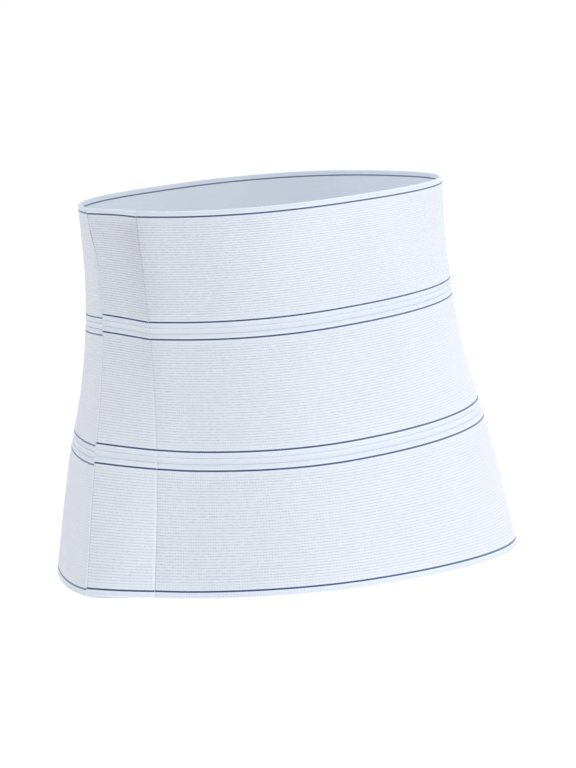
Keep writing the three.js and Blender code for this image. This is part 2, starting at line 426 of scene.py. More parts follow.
def new_tree(name, inputs):
    """An empty Geometry Nodes tree that takes a shape and some sizes, and gives a shape."""
    tree = bpy.data.node_groups.new(name, "GeometryNodeTree")
    tree.interface.new_socket("Shape", in_out="INPUT", socket_type="NodeSocketGeometry")
    tree.interface.new_socket("Shape", in_out="OUTPUT", socket_type="NodeSocketGeometry")
    for label in inputs:
        tree.interface.new_socket(label, in_out="INPUT", socket_type="NodeSocketFloat")
    return tree


def rib_tree(finish):
    """Raises the ribs and the stripes off a panel, along its normals."""
    tree = new_tree("Raise ribs", RIB_INPUTS)
    into = node(tree, "NodeGroupInput").outputs
    place = node(tree, "GeometryNodeInputNamedAttribute", {"Name": "web_mm"}, data_type="FLOAT_VECTOR")
    outer = node(tree, "GeometryNodeInputNamedAttribute", {"Name": "outer_face"}, data_type="FLOAT")
    apart = node(tree, "ShaderNodeSeparateXYZ", {0: place.outputs["Attribute"]}).outputs
    up = node(tree, "ShaderNodeMath", {0: into["Panel height"], 1: apart["Y"]}, operation="SUBTRACT")
    from_edge = node(tree, "ShaderNodeMath", {0: up, 1: apart["Y"]}, operation="MINIMUM")
    along = node(tree, "ShaderNodeMath", {0: from_edge, 1: into["First rib"]}, operation="SUBTRACT")
    turns = node(tree, "ShaderNodeMath", {0: along, 1: into["Rib pitch"]}, operation="DIVIDE")
    wave = node(tree, "ShaderNodeMath", {0: turns, 1: 2 * math.pi}, operation="MULTIPLY")
    wave = node(tree, "ShaderNodeMath", {0: wave}, operation="COSINE")
    rib = node(tree, "ShaderNodeMath", {0: wave, 1: -0.5, 2: 0.5}, operation="MULTIPLY_ADD")
    ribbed = node(tree, "ShaderNodeMath", {0: along, 1: 0.0}, operation="GREATER_THAN")
    side = node(tree, "ShaderNodeMapRange", {
        VALUE: outer.outputs["Attribute"], AT_START: into["Inside share"], AT_END: 1.0,
    })
    past_hem = node(tree, "ShaderNodeMapRange", {VALUE: apart["X"], START: HEM_END[0], END: HEM_END[1]})
    for part in (ribbed, side, past_hem, into["Rib height"]):
        rib = node(tree, "ShaderNodeMath", {0: rib, 1: part}, operation="MULTIPLY")
    stripe = node(tree, "ShaderNodeMath", {0: along, 1: -STRIPE / 2, 2: STRIPE * 0.4}, operation="COMPARE")
    ridge = node(tree, "ShaderNodeMath", {0: stripe, 1: into["Stripe height"]}, operation="MULTIPLY")
    lift = node(tree, "ShaderNodeMath", {0: rib, 1: ridge}, operation="ADD")
    normal = node(tree, "GeometryNodeInputNormal")
    offset = node(tree, "ShaderNodeVectorMath", {0: normal, "Scale": lift}, operation="SCALE")
    moved = node(tree, "GeometryNodeSetPosition", {"Geometry": into["Shape"], "Offset": offset})
    real = node(tree, "GeometryNodeRealizeInstances", {0: moved})
    dressed = node(tree, "GeometryNodeSetMaterial", {0: real, "Material": finish})
    node(tree, "NodeGroupOutput", {0: dressed})
    return tree


ribs = rib_tree(web_finish)
print(ribs.name, "takes", ", ".join(RIB_INPUTS))

# %% Run the tree on the panels
RIB_HEIGHT = 0.12
STRIPE_HEIGHT = 0.06
INSIDE_RIBS = 0.3


def baked(piece, tree, values):
    """Runs the tree on a piece with its inputs set, and keeps the result as a plain mesh."""
    modifier = piece.modifiers.new(tree.name, "NODES")
    modifier.node_group = tree
    for item in tree.interface.items_tree:
        if item.in_out == "INPUT" and item.name in values:
            modifier[item.identifier] = values[item.name]
    graph = bpy.context.evaluated_depsgraph_get()
    made = bpy.data.meshes.new_from_object(piece.evaluated_get(graph), depsgraph=graph)
    piece.modifiers.remove(modifier)
    piece.data = made
    made.shade_smooth()
    return piece


rib_sizes = (RIB_PITCH, RIB_HEIGHT * MM, SELVEDGE + STRIPE, PANEL_HEIGHT, STRIPE_HEIGHT * MM, INSIDE_RIBS)
for web in panels:
    baked(web, ribs, dict(zip(RIB_INPUTS, rib_sizes)))
    print(web.name, "has relief, over", len(web.data.polygons), "faces")

# %% [markdown]
# The webbing is white polyester woven over rubber, so it is matt with a soft sheen. Its
# pattern could be painted, but it is worked out from the web's own map in millimetres, so it
# bends with the web and looks the same in every view. First come the two patterns of the
# weave. The ribs catch the light, and painted shade in the grooves between them draws fine
# grey lines, broken into dashes where the yarns cross. The painted shade is strongest at the
# front and fades towards the hip, where the brighter light washes it out. Across them run
# the wales, a faint grid that shows in patches.

# %% The painted groove shade and the wales
DASH_SIZE = (2.2, 1.1)
PATCH_SIZE = (9.0, 7.0)
WALE_PITCH = 1.35
RIB_FADE = (FLAP_WIDTH + 50.0, FLAP_WIDTH + 220.0)


def painted_groove_shade(t, u, edge, place, fades):
    """The painted shade in the grooves between the ribs, as an amount from none to one."""
    turns = node(t, "ShaderNodeMath", {
        0: edge, 1: 2 * math.pi / RIB_PITCH, 2: -2 * math.pi * (SELVEDGE + STRIPE) / RIB_PITCH,
    }, operation="MULTIPLY_ADD")
    crest = node(t, "ShaderNodeMath", {0: turns}, operation="COSINE")
    groove = node(t, "ShaderNodeMapRange", {VALUE: crest, START: -0.2, END: 1.0})
    dashes = (1 / DASH_SIZE[0], 1 / DASH_SIZE[1], 1.0)
    grain = node(t, "ShaderNodeVectorMath", {0: place, 1: dashes}, operation="MULTIPLY")
    grain = node(t, "ShaderNodeTexNoise", {"Vector": grain, "Scale": 1.0, "Detail": 1.0})
    dash = node(t, "ShaderNodeMapRange", {VALUE: grain, START: 0.3, END: 0.7, AT_START: 0.45, AT_END: 1.2})
    off_edge = node(t, "ShaderNodeMapRange", {
        VALUE: edge, START: SELVEDGE + STRIPE, END: SELVEDGE + STRIPE + 5.0, AT_START: 0.45,
    })
    past_hem = node(t, "ShaderNodeMapRange", {VALUE: u, START: HEM_END[0], END: HEM_END[1], AT_START: 0.1})
    for part in (dash, off_edge, *fades, past_hem):
        groove = node(t, "ShaderNodeMath", {0: groove, 1: part}, operation="MULTIPLY")
    return groove


def web_wales(t, u, place, fades):
    """The faint bars across the ribs, as a wave about nought."""
    turns = node(t, "ShaderNodeMath", {0: u, 1: 2 * math.pi / WALE_PITCH}, operation="MULTIPLY")
    wales = node(t, "ShaderNodeMath", {0: turns}, operation="COSINE")
    patches = (1 / PATCH_SIZE[0], 1 / PATCH_SIZE[1], 1.0)
    patchy = node(t, "ShaderNodeVectorMath", {0: place, 1: patches}, operation="MULTIPLY")
    patchy = node(t, "ShaderNodeTexNoise", {"Vector": patchy, "Scale": 1.0, "Detail": 0.0})
    patchy = node(t, "ShaderNodeMapRange", {
        VALUE: patchy, START: 0.45, END: 0.62, AT_START: 0.25, AT_END: 1.0,
    })
    past_root = node(t, "ShaderNodeMapRange", {
        VALUE: u, START: FLAP_WIDTH - 10.0, END: FLAP_WIDTH + 4.0, AT_START: 0.45,
    })
    for part in (patchy, past_root, *fades):
        wales = node(t, "ShaderNodeMath", {0: wales, 1: part}, operation="MULTIPLY")
    return wales


print(f"grooves {RIB_PITCH:.2f} mm apart and wales {WALE_PITCH} mm apart before the web is stretched")

# %% [markdown]
# Next come the lines that run along an edge or a seam: the blue stripes of dyed yarn between
# cooler guard yarns, a painted highlight on the fold of the hem low down, a painted highlight
# on the ridge before the root seam, and fine painted shadows beside both seams. Each is a
# place, a half width and a softness in millimetres, so one loop draws them all. The painted
# shadows are deepest at the top, where the flap is pulled tight, and nearly gone on the
# selvedges, which lie flat.

# %% Lines along the edges and the seams
STRIPE_MIDDLE = SELVEDGE + STRIPE / 2
EDGE_LINES = [(STRIPE_MIDDLE, STRIPE / 2, 0.06), (STRIPE_MIDDLE, STRIPE / 2 + 1.0, 0.4)]
SEAM_LINES = [
    (HEM_SEAM / 2 - 0.4, HEM_SEAM / 2, 0.3),
    (ROOT_SEAM - 0.9, 0.9, 0.3),
    (ROOT_SEAM + 0.4, 0.5, 0.3),
    (HEM_SEAM + 0.5, 0.7, 0.3),
]


def lines_along(t, value, lines):
    """One soft-edged line for each middle, half width and softness."""
    made = []
    for middle, half, soft in lines:
        off = node(t, "ShaderNodeMath", {0: value, 1: middle}, operation="SUBTRACT")
        off = node(t, "ShaderNodeMath", {0: off}, operation="ABSOLUTE")
        made.append(node(t, "ShaderNodeMapRange", {
            VALUE: off, START: half - soft, END: half + soft, AT_START: 1.0, AT_END: 0.0,
        }))
    return made


def seam_shadow_strengths(t, edge, down):
    """How strong the painted shadows beside the hem and the root are at each height."""
    hem = node(t, "ShaderNodeMapRange", {VALUE: down, START: 0.05, END: 0.2, AT_START: 1.0, AT_END: 0.5})
    root = node(t, "ShaderNodeMapRange", {VALUE: down, START: 0.08, END: 0.35, AT_START: 1.0, AT_END: 0.28})
    off_edge = node(t, "ShaderNodeMapRange", {
        VALUE: edge, START: SELVEDGE, END: SELVEDGE + STRIPE, AT_START: 0.2,
    })
    hem = node(t, "ShaderNodeMath", {0: hem, 1: off_edge}, operation="MULTIPLY")
    root = node(t, "ShaderNodeMath", {0: root, 1: off_edge}, operation="MULTIPLY")
    return hem, root


print(len(EDGE_LINES), "lines follow each edge and", len(SEAM_LINES), "lie beside the seams")

# %% [markdown]
# At the front the web lies double, and light and shade are painted into its tone. The flap
# has painted shade at the top, most of all beside its root and near its free edge, and
# painted light low down, where it faces the light from above. Painted shade greys the web
# for a short way past the root seam, and painted shadow greys it where it comes up to the
# flap's edge and goes under it. The lamps give some of this, and the rest is a small painted
# share that is added to the web's tone.

# %% Painted light and shade at the front
SEAM_WIDTH = 0.8


def painted_front_shading(t, u, down):
    """Painted light and shade at the front, as a share that is added to the web's own tone."""
    # Painted shade on the flap beside its root, darker at the top and lighter low down.
    near_root = node(t, "ShaderNodeMapRange", {VALUE: u, START: ROOT_SEAM - 70.0, END: ROOT_SEAM - 10.0})
    before_seam = node(t, "ShaderNodeMapRange", {
        VALUE: u, START: ROOT_SEAM, END: ROOT_SEAM + SEAM_WIDTH, AT_START: 1.0, AT_END: 0.0,
    })
    by_height = node(t, "ShaderNodeMapRange", {
        VALUE: down, START: 0.1, END: 0.85, AT_START: -0.15, AT_END: 0.1,
    })
    off_top = node(t, "ShaderNodeMapRange", {VALUE: down, START: 0.01, END: 0.05, AT_START: 0.3})
    # Painted shade near the flap's free edge, at the top.
    by_edge = node(t, "ShaderNodeMapRange", {VALUE: u, START: 3.0, END: 40.0, AT_START: -0.05, AT_END: 0.0})
    high_up = node(t, "ShaderNodeMapRange", {VALUE: down, START: 0.25, END: 0.6, AT_START: 1.0, AT_END: 0.1})
    # Painted shade just past the root seam, mostly at the top.
    past_seam = node(t, "ShaderNodeMapRange", {
        VALUE: u, START: ROOT_SEAM + SEAM_WIDTH, END: ROOT_SEAM + 24.0, AT_START: -0.09, AT_END: 0.0,
    })
    behind = node(t, "ShaderNodeMapRange", {VALUE: u, START: ROOT_SEAM, END: ROOT_SEAM + SEAM_WIDTH})
    # Painted shadow on the web where it goes under the flap's edge.
    by_flap = node(t, "ShaderNodeMapRange", {
        VALUE: u, START: UNDER_START - 9.0, END: UNDER_START, AT_START: 0.0, AT_END: -0.14,
    })
    # Painted shade on the web as it comes up to the flap's edge.
    tone = node(t, "ShaderNodeMapRange", {
        VALUE: u, START: UNDER_START - 90.0, END: UNDER_START - 50.0, AT_START: 0.0, AT_END: -0.035,
    })
    flap = (near_root, before_seam, by_height, off_top)
    for first, *others in (flap, (by_edge, high_up), (past_seam, behind, high_up), (by_flap, high_up)):
        share = first
        for part in others:
            share = node(t, "ShaderNodeMath", {0: share, 1: part}, operation="MULTIPLY")
        tone = node(t, "ShaderNodeMath", {0: tone, 1: share}, operation="ADD")
    return tone


print(f"the under layer starts {UNDER_START} mm along the web")

# %% [markdown]
# The finish lays these patterns over one another, from the plain web up. The colours are
# those of bleached yarn in soft daylight: a white that leans to blue, cooler in the dense
# selvedge and greyer on the inside. A painted glow lightens the inside faces for the first
# 430 mm along the web, for light that comes through where the outside is lit, and painted
# shade greys them a little past 545 mm. Fine yarns and slow clouds of tone keep the white
# from looking like paint. The blue comes last, and it is drawn paler along the round from
# the front towards the hip.

# %% Elastic webbing
# The groove grey is painted shade between the ribs.
WEB_WHITE, GROOVE_SHADE_GREY, SELVEDGE_WHITE = "#ebeff9", "#c6cbd8", "#e5ebf7"
STRIPE_BLUE, GUARD_WHITE, INSIDE_WHITE = "#23346f", "#e7f3ff", "#d8e0e9"
# The next white is a painted highlight and the grey a painted shadow.
FOLD_HIGHLIGHT_WHITE, SEAM_SHADOW_GREY = "#f9fcff", "#8389a0"
YARN_SIZE = (0.9, 0.35)
CLOUD_SIZE = 28.0
PAINTED_GLOW_END = (430.0, 545.0)
WALE_TONE = 0.055
WEB_BUMP = 0.05


def web_colour(t, u, edge, down, inside, groove, guard):
    """The undyed web's colour, its selvedges, and painted light and shade at its grooves, fold and seams."""
    fold, root_ridge, root_shadow, hem_shadow = lines_along(t, u, SEAM_LINES)
    hem_shadow_strength, root_shadow_strength = seam_shadow_strengths(t, edge, down)
    low_down = node(t, "ShaderNodeMapRange", {VALUE: down, START: 0.35, END: 0.7})
    selvedge = node(t, "ShaderNodeMapRange", {
        VALUE: edge, START: SELVEDGE - 0.2, END: SELVEDGE + 0.1, AT_START: 1.0, AT_END: 0.0,
    })
    shade = colour(WEB_WHITE)
    # Painted groove shade, painted highlights on the hem's fold and the root ridge, and painted shadows
    # beside the seams are mixed in here.
    for amount, share, most, code in (
        (groove, 1.0, 1.0, GROOVE_SHADE_GREY),
        (selvedge, 1.0, 1.0, SELVEDGE_WHITE),
        (guard, 1.0, 0.9, GUARD_WHITE),
        (inside, 1.0, 0.8, INSIDE_WHITE),
        (fold, low_down, 0.9, FOLD_HIGHLIGHT_WHITE),
        (root_ridge, low_down, 0.35, FOLD_HIGHLIGHT_WHITE),
        (root_shadow, root_shadow_strength, 1.0, SEAM_SHADOW_GREY),
        (hem_shadow, hem_shadow_strength, 1.0, SEAM_SHADOW_GREY),
    ):
        amount = node(t, "ShaderNodeMath", {0: amount, 1: share}, operation="MULTIPLY")
        amount = node(t, "ShaderNodeMath", {0: amount, 1: most}, operation="MULTIPLY")
        shade = node(t, "ShaderNodeMix", {
            "Factor": amount, COLOUR_A: shade, COLOUR_B: colour(code),
        }, data_type="RGBA")
    return shade, selvedge


def web_tone(t, u, down, place, inside, wales, yarn):
    """How light the web is at each point, as a factor near one, with painted light and shade."""
    cloud = node(t, "ShaderNodeTexNoise", {"Vector": place, "Scale": 1 / CLOUD_SIZE, "Detail": 2.0})
    fleck = node(t, "ShaderNodeMapRange", {VALUE: yarn, AT_START: 0.95, AT_END: 1.05})
    drift = node(t, "ShaderNodeMapRange", {VALUE: cloud, AT_START: 0.975, AT_END: 1.025})
    tone = node(t, "ShaderNodeMath", {0: fleck, 1: drift}, operation="MULTIPLY")
    tone = node(t, "ShaderNodeMath", {0: tone, 1: painted_front_shading(t, u, down)}, operation="ADD")
    # Painted glow on the inside faces, then a little painted shade past its end.
    glow = node(t, "ShaderNodeMapRange", {
        VALUE: u, START: PAINTED_GLOW_END[0], END: PAINTED_GLOW_END[1], AT_START: 0.23, AT_END: -0.05,
    })
    tone = node(t, "ShaderNodeMath", {0: glow, 1: inside, 2: tone}, operation="MULTIPLY_ADD")
    return node(t, "ShaderNodeMath", {0: wales, 1: WALE_TONE, 2: tone}, operation="MULTIPLY_ADD")


def dress_web(material):
    """Woven elastic webbing: matt ribbed white with two blue stripes and a soft sheen."""
    t = material.node_tree
    place = node(t, "ShaderNodeUVMap", uv_map="web_mm")
    apart = node(t, "ShaderNodeSeparateXYZ", {0: place}).outputs
    u, v = apart["X"], apart["Y"]
    down = node(t, "ShaderNodeAttribute", attribute_name="down_share").outputs["Fac"]
    outer = node(t, "ShaderNodeAttribute", attribute_name="outer_face").outputs["Fac"]
    up = node(t, "ShaderNodeMath", {0: PANEL_HEIGHT, 1: v}, operation="SUBTRACT")
    edge = node(t, "ShaderNodeMath", {0: up, 1: v}, operation="MINIMUM")
    inside = node(t, "ShaderNodeMapRange", {VALUE: outer, AT_START: 1.0, AT_END: 0.0})
    # Towards the hip the painted groove shade and the wales fade.
    fade = node(t, "ShaderNodeMapRange", {
        VALUE: u, START: RIB_FADE[0], END: RIB_FADE[1], AT_START: 0.85, AT_END: 0.28,
    })
    side = node(t, "ShaderNodeMapRange", {VALUE: outer, AT_START: 1.3, AT_END: 1.0})
    groove = painted_groove_shade(t, u, edge, place, (fade, side))
    wales = web_wales(t, u, place, (fade, side))
    stripe, guard = lines_along(t, edge, EDGE_LINES)
    yarns = (1 / YARN_SIZE[0], 1 / YARN_SIZE[1], 1.0)
    yarn = node(t, "ShaderNodeVectorMath", {0: place, 1: yarns}, operation="MULTIPLY")
    yarn = node(t, "ShaderNodeTexNoise", {"Vector": yarn, "Scale": 1.0, "Detail": 3.0})
    shade, selvedge = web_colour(t, u, edge, down, inside, groove, guard)
    tone = web_tone(t, u, down, place, inside, wales, yarn)
    shade = node(t, "ShaderNodeVectorMath", {0: shade, "Scale": tone}, operation="SCALE")
    # The blue stripe is drawn paler along the round from the front towards the hip.
    stripe_strength = node(t, "ShaderNodeMapRange", {
        VALUE: u, START: RIB_FADE[0], END: RIB_FADE[1], AT_START: 0.96, AT_END: 0.78,
    })
    stripe = node(t, "ShaderNodeMath", {0: stripe, 1: stripe_strength}, operation="MULTIPLY")
    shade = node(t, "ShaderNodeMix", {
        "Factor": stripe, COLOUR_A: shade, COLOUR_B: colour(STRIPE_BLUE),
    }, data_type="RGBA")
    relief = node(t, "ShaderNodeMath", {0: wales, 1: 0.5, 2: yarn}, operation="MULTIPLY_ADD")
    bump = node(t, "ShaderNodeBump", {"Height": relief, "Strength": 0.5, "Distance": WEB_BUMP * MM})
    rough = node(t, "ShaderNodeMapRange", {VALUE: selvedge, AT_START: 0.86, AT_END: 0.74})
    shader = node(t, "ShaderNodeBsdfPrincipled", {
        "Base Color": shade, "Roughness": rough, "Normal": bump,
        "Sheen Weight": 0.12, "Sheen Roughness": 0.45, "Specular IOR Level": 0.3,
    })
    node(t, "ShaderNodeOutputMaterial", {"Surface": shader})


dress_web(web_finish)
print(web_finish.name, "has", len(web_finish.node_tree.nodes), "nodes")

# %% [markdown]
# The panels meet at a narrow tape, woven flat and without rubber, so it is smoother than the
# web. It lies a little below their faces, and a soft groove shows at each side. It could be
# left to the panels' own edges, but then nothing would hold them together. It is slightly
# domed, and painted light makes its upper half the lighter one, for the light from above on
# the dome. It is the same loop swept along the same stations. Its diagonal weave is Blender's
# diagonal wave, which turns 10 radians a unit, so its scale follows from the weave's repeat
# in millimetres.

# %% Woven tape
TAPE_WHITE, TAPE_SHADE = "#eaf1fc", "#d7dfea"
TAPE_REPEAT = 1.2
TAPE_BUMP = 0.05
TAPE_YARNS = 1.2
WAVE_RATE = 10


def dress_tape(material, light, dark, repeat, depth):
    """Woven polyester tape: flat, matt, faintly mottled by its diagonal weave, with painted light and shade.
    """
    t = material.node_tree
    place = node(t, "ShaderNodeUVMap", uv_map="web_mm")
    weave = node(t, "ShaderNodeTexWave", {
        "Vector": place, "Scale": 2 * math.pi / (WAVE_RATE * repeat), "Distortion": 1.0, "Detail": 2.0,
    }, bands_direction="DIAGONAL").outputs["Fac"]
    yarn = node(t, "ShaderNodeTexNoise", {"Vector": place, "Scale": TAPE_YARNS, "Detail": 3.0})
    mottle = node(t, "ShaderNodeMath", {0: weave, 1: yarn}, operation="MULTIPLY")
    shade = node(t, "ShaderNodeMix", {
        "Factor": mottle, COLOUR_A: colour(light), COLOUR_B: colour(dark),
    }, data_type="RGBA")
    across = node(t, "ShaderNodeSeparateXYZ", {0: place}).outputs["Y"]
    # Painted light and shade: lighter at the tape's upper edge, darker at its lower edge.
    fall = node(t, "ShaderNodeMapRange", {VALUE: across, END: JOIN_WIDTH, AT_START: 1.05, AT_END: 0.95})
    shade = node(t, "ShaderNodeVectorMath", {0: shade, "Scale": fall}, operation="SCALE")
    bump = node(t, "ShaderNodeBump", {"Height": weave, "Strength": 0.5, "Distance": depth})
    shader = node(t, "ShaderNodeBsdfPrincipled", {
        "Base Color": shade, "Roughness": 0.85, "Normal": bump,
        "Sheen Weight": 0.1, "Sheen Roughness": 0.45, "Specular IOR Level": 0.3,
    })
    node(t, "ShaderNodeOutputMaterial", {"Surface": shader})


tape_finish = new_material("woven_joining_tape")
dress_tape(tape_finish, TAPE_WHITE, TAPE_SHADE, TAPE_REPEAT, TAPE_BUMP * MM)
print(tape_finish.name, "repeats every", TAPE_REPEAT, "mm along the tape")

# %% Joining tapes
TAPE_DOME = 0.06
TAPE_TUCK = 0.1
TAPE_ROWS = 7
TAPE_ROUNDNESS = 0.45
tapes = []
tape_top = (WEB_WALL - JOIN_WALL) / 2
for number, name in enumerate(["upper_join", "lower_join"]):
    start = PANEL_HEIGHT + number * (PANEL_HEIGHT + JOIN_WIDTH)
    rows = start + np.linspace(-TAPE_TUCK, JOIN_WIDTH + TAPE_TUCK, TAPE_ROWS)
    heights, depths = web_section(rows, JOIN_WALL, tape_top, TAPE_ROUNDNESS)
    off_middle = np.clip((heights - start) / (JOIN_WIDTH / 2) - 1, -1, 1)
    on_face = depths < tape_top + JOIN_WALL / 2
    depths = depths - TAPE_DOME * (1 - off_middle**2) * on_face
    tape = swept_web(
        f"{name}_tape", heights, depths, lambda d: wrap_stations(d, PLAN), web_u, start, JOIN_WALL, tape_top
    )
    tape.data.materials.append(tape_finish)
    tapes.append(tape)
    print(tape.name, len(tape.data.polygons), "faces")

# %% [markdown]
# The hook patch is a plain stiff tape behind the flap, hidden in wear. Only its edges can
# be seen, through the slit at the top and the bottom. Thousands of real hooks would add
# nothing to that, so they are left to the bump, and the patch is one swept loop.

# %% Hook patch
HOOK_WHITE, HOOK_SHADE = "#dfe2ea", "#c3c7d2"
HOOK_REPEAT = 2.4
HOOK_BUMP = 0.3
PATCH_WIDTH = 64.0
PATCH_START = HEM_WIDTH + PATCH_INSET
PATCH_ROWS, PATCH_STATIONS = 45, 25
PATCH_ROUNDNESS = 0.3
hook_finish = new_material("hook_tape")
dress_tape(hook_finish, HOOK_WHITE, HOOK_SHADE, HOOK_REPEAT, HOOK_BUMP * MM)
patch_plan = np.linspace(0, 1, PATCH_STATIONS)


def patch_stations(down):
    """Angle, distance across and turn of each station of the patch, for one height."""
    edge = free_edge(np.array(down)) + HEM_WIDTH + PATCH_INSET
    across = edge + (FLAP_WIDTH - PATCH_INSET - edge) * patch_plan
    return flap_angle(across, np.array(down)), across, 0 * across


patch_rows = np.linspace(PATCH_MARGIN, HEIGHT - PATCH_MARGIN, PATCH_ROWS)
patch_top = WEB_WALL + GAP
heights, depths = web_section(patch_rows, PATCH_WALL, patch_top, PATCH_ROUNDNESS)
patch_u = PATCH_START + patch_plan * PATCH_WIDTH
patch = swept_web("hook_patch_tape", heights, depths, patch_stations, patch_u, 0, PATCH_WALL, patch_top)
patch.data.materials.append(hook_finish)
print(patch.name, len(patch.data.polygons), "faces")

# %% [markdown]
# The flap's root and its hem are sewn with a straight stitch in spun polyester thread, which
# is white, a little glossier than the web and slightly uneven in colour. A painted map would
# be wasted on pieces so small, so a fine noise in the row's own space gives the unevenness.

# %% Sewing thread
THREAD_WHITE, THREAD_SHADE = "#f6f7fb", "#e2e6f0"
THREAD_GRAIN = 0.25
thread_finish = new_material("spun_polyester_thread")
thread = thread_finish.node_tree
thread_place = node(thread, "ShaderNodeTexCoord").outputs["Object"]
thread_grain = node(thread, "ShaderNodeTexNoise", {"Vector": thread_place, "Scale": 1 / (THREAD_GRAIN * MM)})
thread_shade = node(thread, "ShaderNodeMix", {
    "Factor": thread_grain, COLOUR_A: colour(THREAD_WHITE), COLOUR_B: colour(THREAD_SHADE),
}, data_type="RGBA")
thread_skin = node(thread, "ShaderNodeBsdfPrincipled", {
    "Base Color": thread_shade, "Roughness": 0.6, "Sheen Weight": 0.15,
})
node(thread, "ShaderNodeOutputMaterial", {"Surface": thread_skin})
print(thread_finish.name, "varies over", THREAD_GRAIN, "mm")

# %% [markdown]
# A row of stitches repeats along a path. Copies placed by a loop would do, but Geometry
# Nodes keep the pitch, the length and the thread as inputs. They lay one short rounded
# stitch at even steps along a line of points on the web's outer face, turned the way the
# line runs.

# %% Geometry Nodes for a row of stitches
STITCH_INPUTS = ("Stitch pitch", "Stitch length", "Thread radius")


def stitch_tree(finish):
    """Lays a stitch at even steps along a line of edges."""
    tree = new_tree("Sew a row", STITCH_INPUTS)
    into = node(tree, "NodeGroupInput").outputs
    line = node(tree, "GeometryNodeMeshToCurve", {0: into["Shape"]})
    steps = node(tree, "GeometryNodeResampleCurve", {
        "Curve": line, "Length": into["Stitch pitch"],
    }, mode="LENGTH")
    tangent = node(tree, "GeometryNodeInputTangent")
    turned = node(tree, "FunctionNodeAlignRotationToVector", {"Vector": tangent}, axis="Z")
    ball = node(tree, "GeometryNodeMeshUVSphere", {"Segments": 8, "Rings": 6, "Radius": 1.0})
    half = node(tree, "ShaderNodeMath", {0: into["Stitch length"], 1: 0.5}, operation="MULTIPLY")
    size = node(tree, "ShaderNodeCombineXYZ", {
        "X": into["Thread radius"], "Y": into["Thread radius"], "Z": half,
    })
    laid = node(tree, "GeometryNodeInstanceOnPoints", {
        "Points": steps, "Instance": ball, "Rotation": turned, "Scale": size,
    })
    real = node(tree, "GeometryNodeRealizeInstances", {0: laid})
    dressed = node(tree, "GeometryNodeSetMaterial", {0: real, "Material": finish})
    node(tree, "NodeGroupOutput", {0: dressed})
    return tree


sewing = stitch_tree(thread_finish)
print(sewing.name, "takes", ", ".join(STITCH_INPUTS))

# %% Sew the root and the hem
STITCH_PITCH, STITCH_LENGTH, THREAD_RADIUS = 3.0, 2.7, 0.2
STITCH_DEPTH = SEAM_DIP - 0.05
ROW_ENDS = (0.004, 0.996)
ROW_POINTS = 160
SEAMS = {
    "root_seam_stitches": lambda down: 0 * down + ROOT_SEAM,
    "hem_stitches": lambda down: free_edge(down) + HEM_SEAM,
}


def seam_line(name, across_at):
    """A line of points down the flap, from the top of the binder to its bottom."""
    down = np.linspace(*ROW_ENDS, ROW_POINTS)
    across = across_at(down)
    points = layer_point(flap_angle(across, down), across, 0 * down, down, 0 * down + STITCH_DEPTH)
    mesh = bpy.data.meshes.new(name)
    mesh.from_pydata(points.tolist(), [[i, i + 1] for i in range(len(points) - 1)], [])
    return shown(name, mesh)


stitch_rows = []
stitch_sizes = (STITCH_PITCH * MM, STITCH_LENGTH * MM, THREAD_RADIUS * MM)
for name, across_at in SEAMS.items():
    row = baked(seam_line(name, across_at), sewing, dict(zip(STITCH_INPUTS, stitch_sizes)))
    stitch_rows.append(row)
    print(row.name, len(row.data.polygons), "faces")

# %% [markdown]
# Every finished piece rides on the root body, and each panel, tape and the hook patch
# hides the CAD node that it replaces. The web is cloth.

# %% Ride and replace
for web, name in zip(panels, ["upper_panel", "middle_panel", "lower_panel"]):
    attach(web, "root")
    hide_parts(name)
for tape, name in zip(tapes, ["upper_join_strip", "lower_join_strip"]):
    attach(tape, "root")
    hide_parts(name)
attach(patch, "root")
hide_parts("hook_patch")
for row in stitch_rows:
    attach(row, "root")

# %% [markdown]
# The photograph is a studio cut-out: a white ground and soft light from all round. The binder
# hangs at waist height, so the pale floor is a metre below it, and wide enough to fill the
# view. Floor, lights and camera are no part of the object.

# %% Floor
FLOOR_WHITE = "#f7f7f7"
FLOOR_REACH = 150.0
FLOOR_LEVEL = -1.0
corners = [(x * FLOOR_REACH, y * FLOOR_REACH, FLOOR_LEVEL) for x, y in ((-1, -1), (1, -1), (1, 1), (-1, 1))]
floor_mesh = bpy.data.meshes.new("studio_floor")
floor_mesh.from_pydata(corners, [], [(0, 1, 2, 3)])
floor = shown("studio_floor", floor_mesh)
floor_finish = new_material("matt_studio_floor")
floor_tree = floor_finish.node_tree
floor_skin = node(floor_tree, "ShaderNodeBsdfPrincipled", {
    "Base Color": colour(FLOOR_WHITE), "Roughness": 1.0, "Specular IOR Level": 0.0,
})
node(floor_tree, "ShaderNodeOutputMaterial", {"Surface": floor_skin})
floor_mesh.materials.append(floor_finish)
print(floor.name, "lies", -FLOOR_LEVEL, "m below the waist")

# %% [markdown]
# The camera is placed by its angle to the object and by the focal length in the photograph's
# own pixels. Its three directions are worked out first, because the studio's light is set
# by them too.

# %% Directions of the view
AZIMUTH, ELEVATION = math.radians(65), math.radians(2.686)
right = np.array([math.cos(AZIMUTH), math.sin(AZIMUTH), 0.0])
back = np.array([
    math.sin(AZIMUTH) * math.cos(ELEVATION), -math.cos(AZIMUTH) * math.cos(ELEVATION), math.sin(ELEVATION),
])
above = np.cross(back, right)
print("the camera looks along", (-back).round(3).tolist())

# %% [markdown]
# A world of plain white would light the binder evenly and flatten it. Here the room gives
# less light from behind the camera and from the picture's left, which is what lets the flap
# fall into a soft grey. The Light Path node makes the bare sky an even white in every view,
# and changes nothing in the light that falls on the binder.

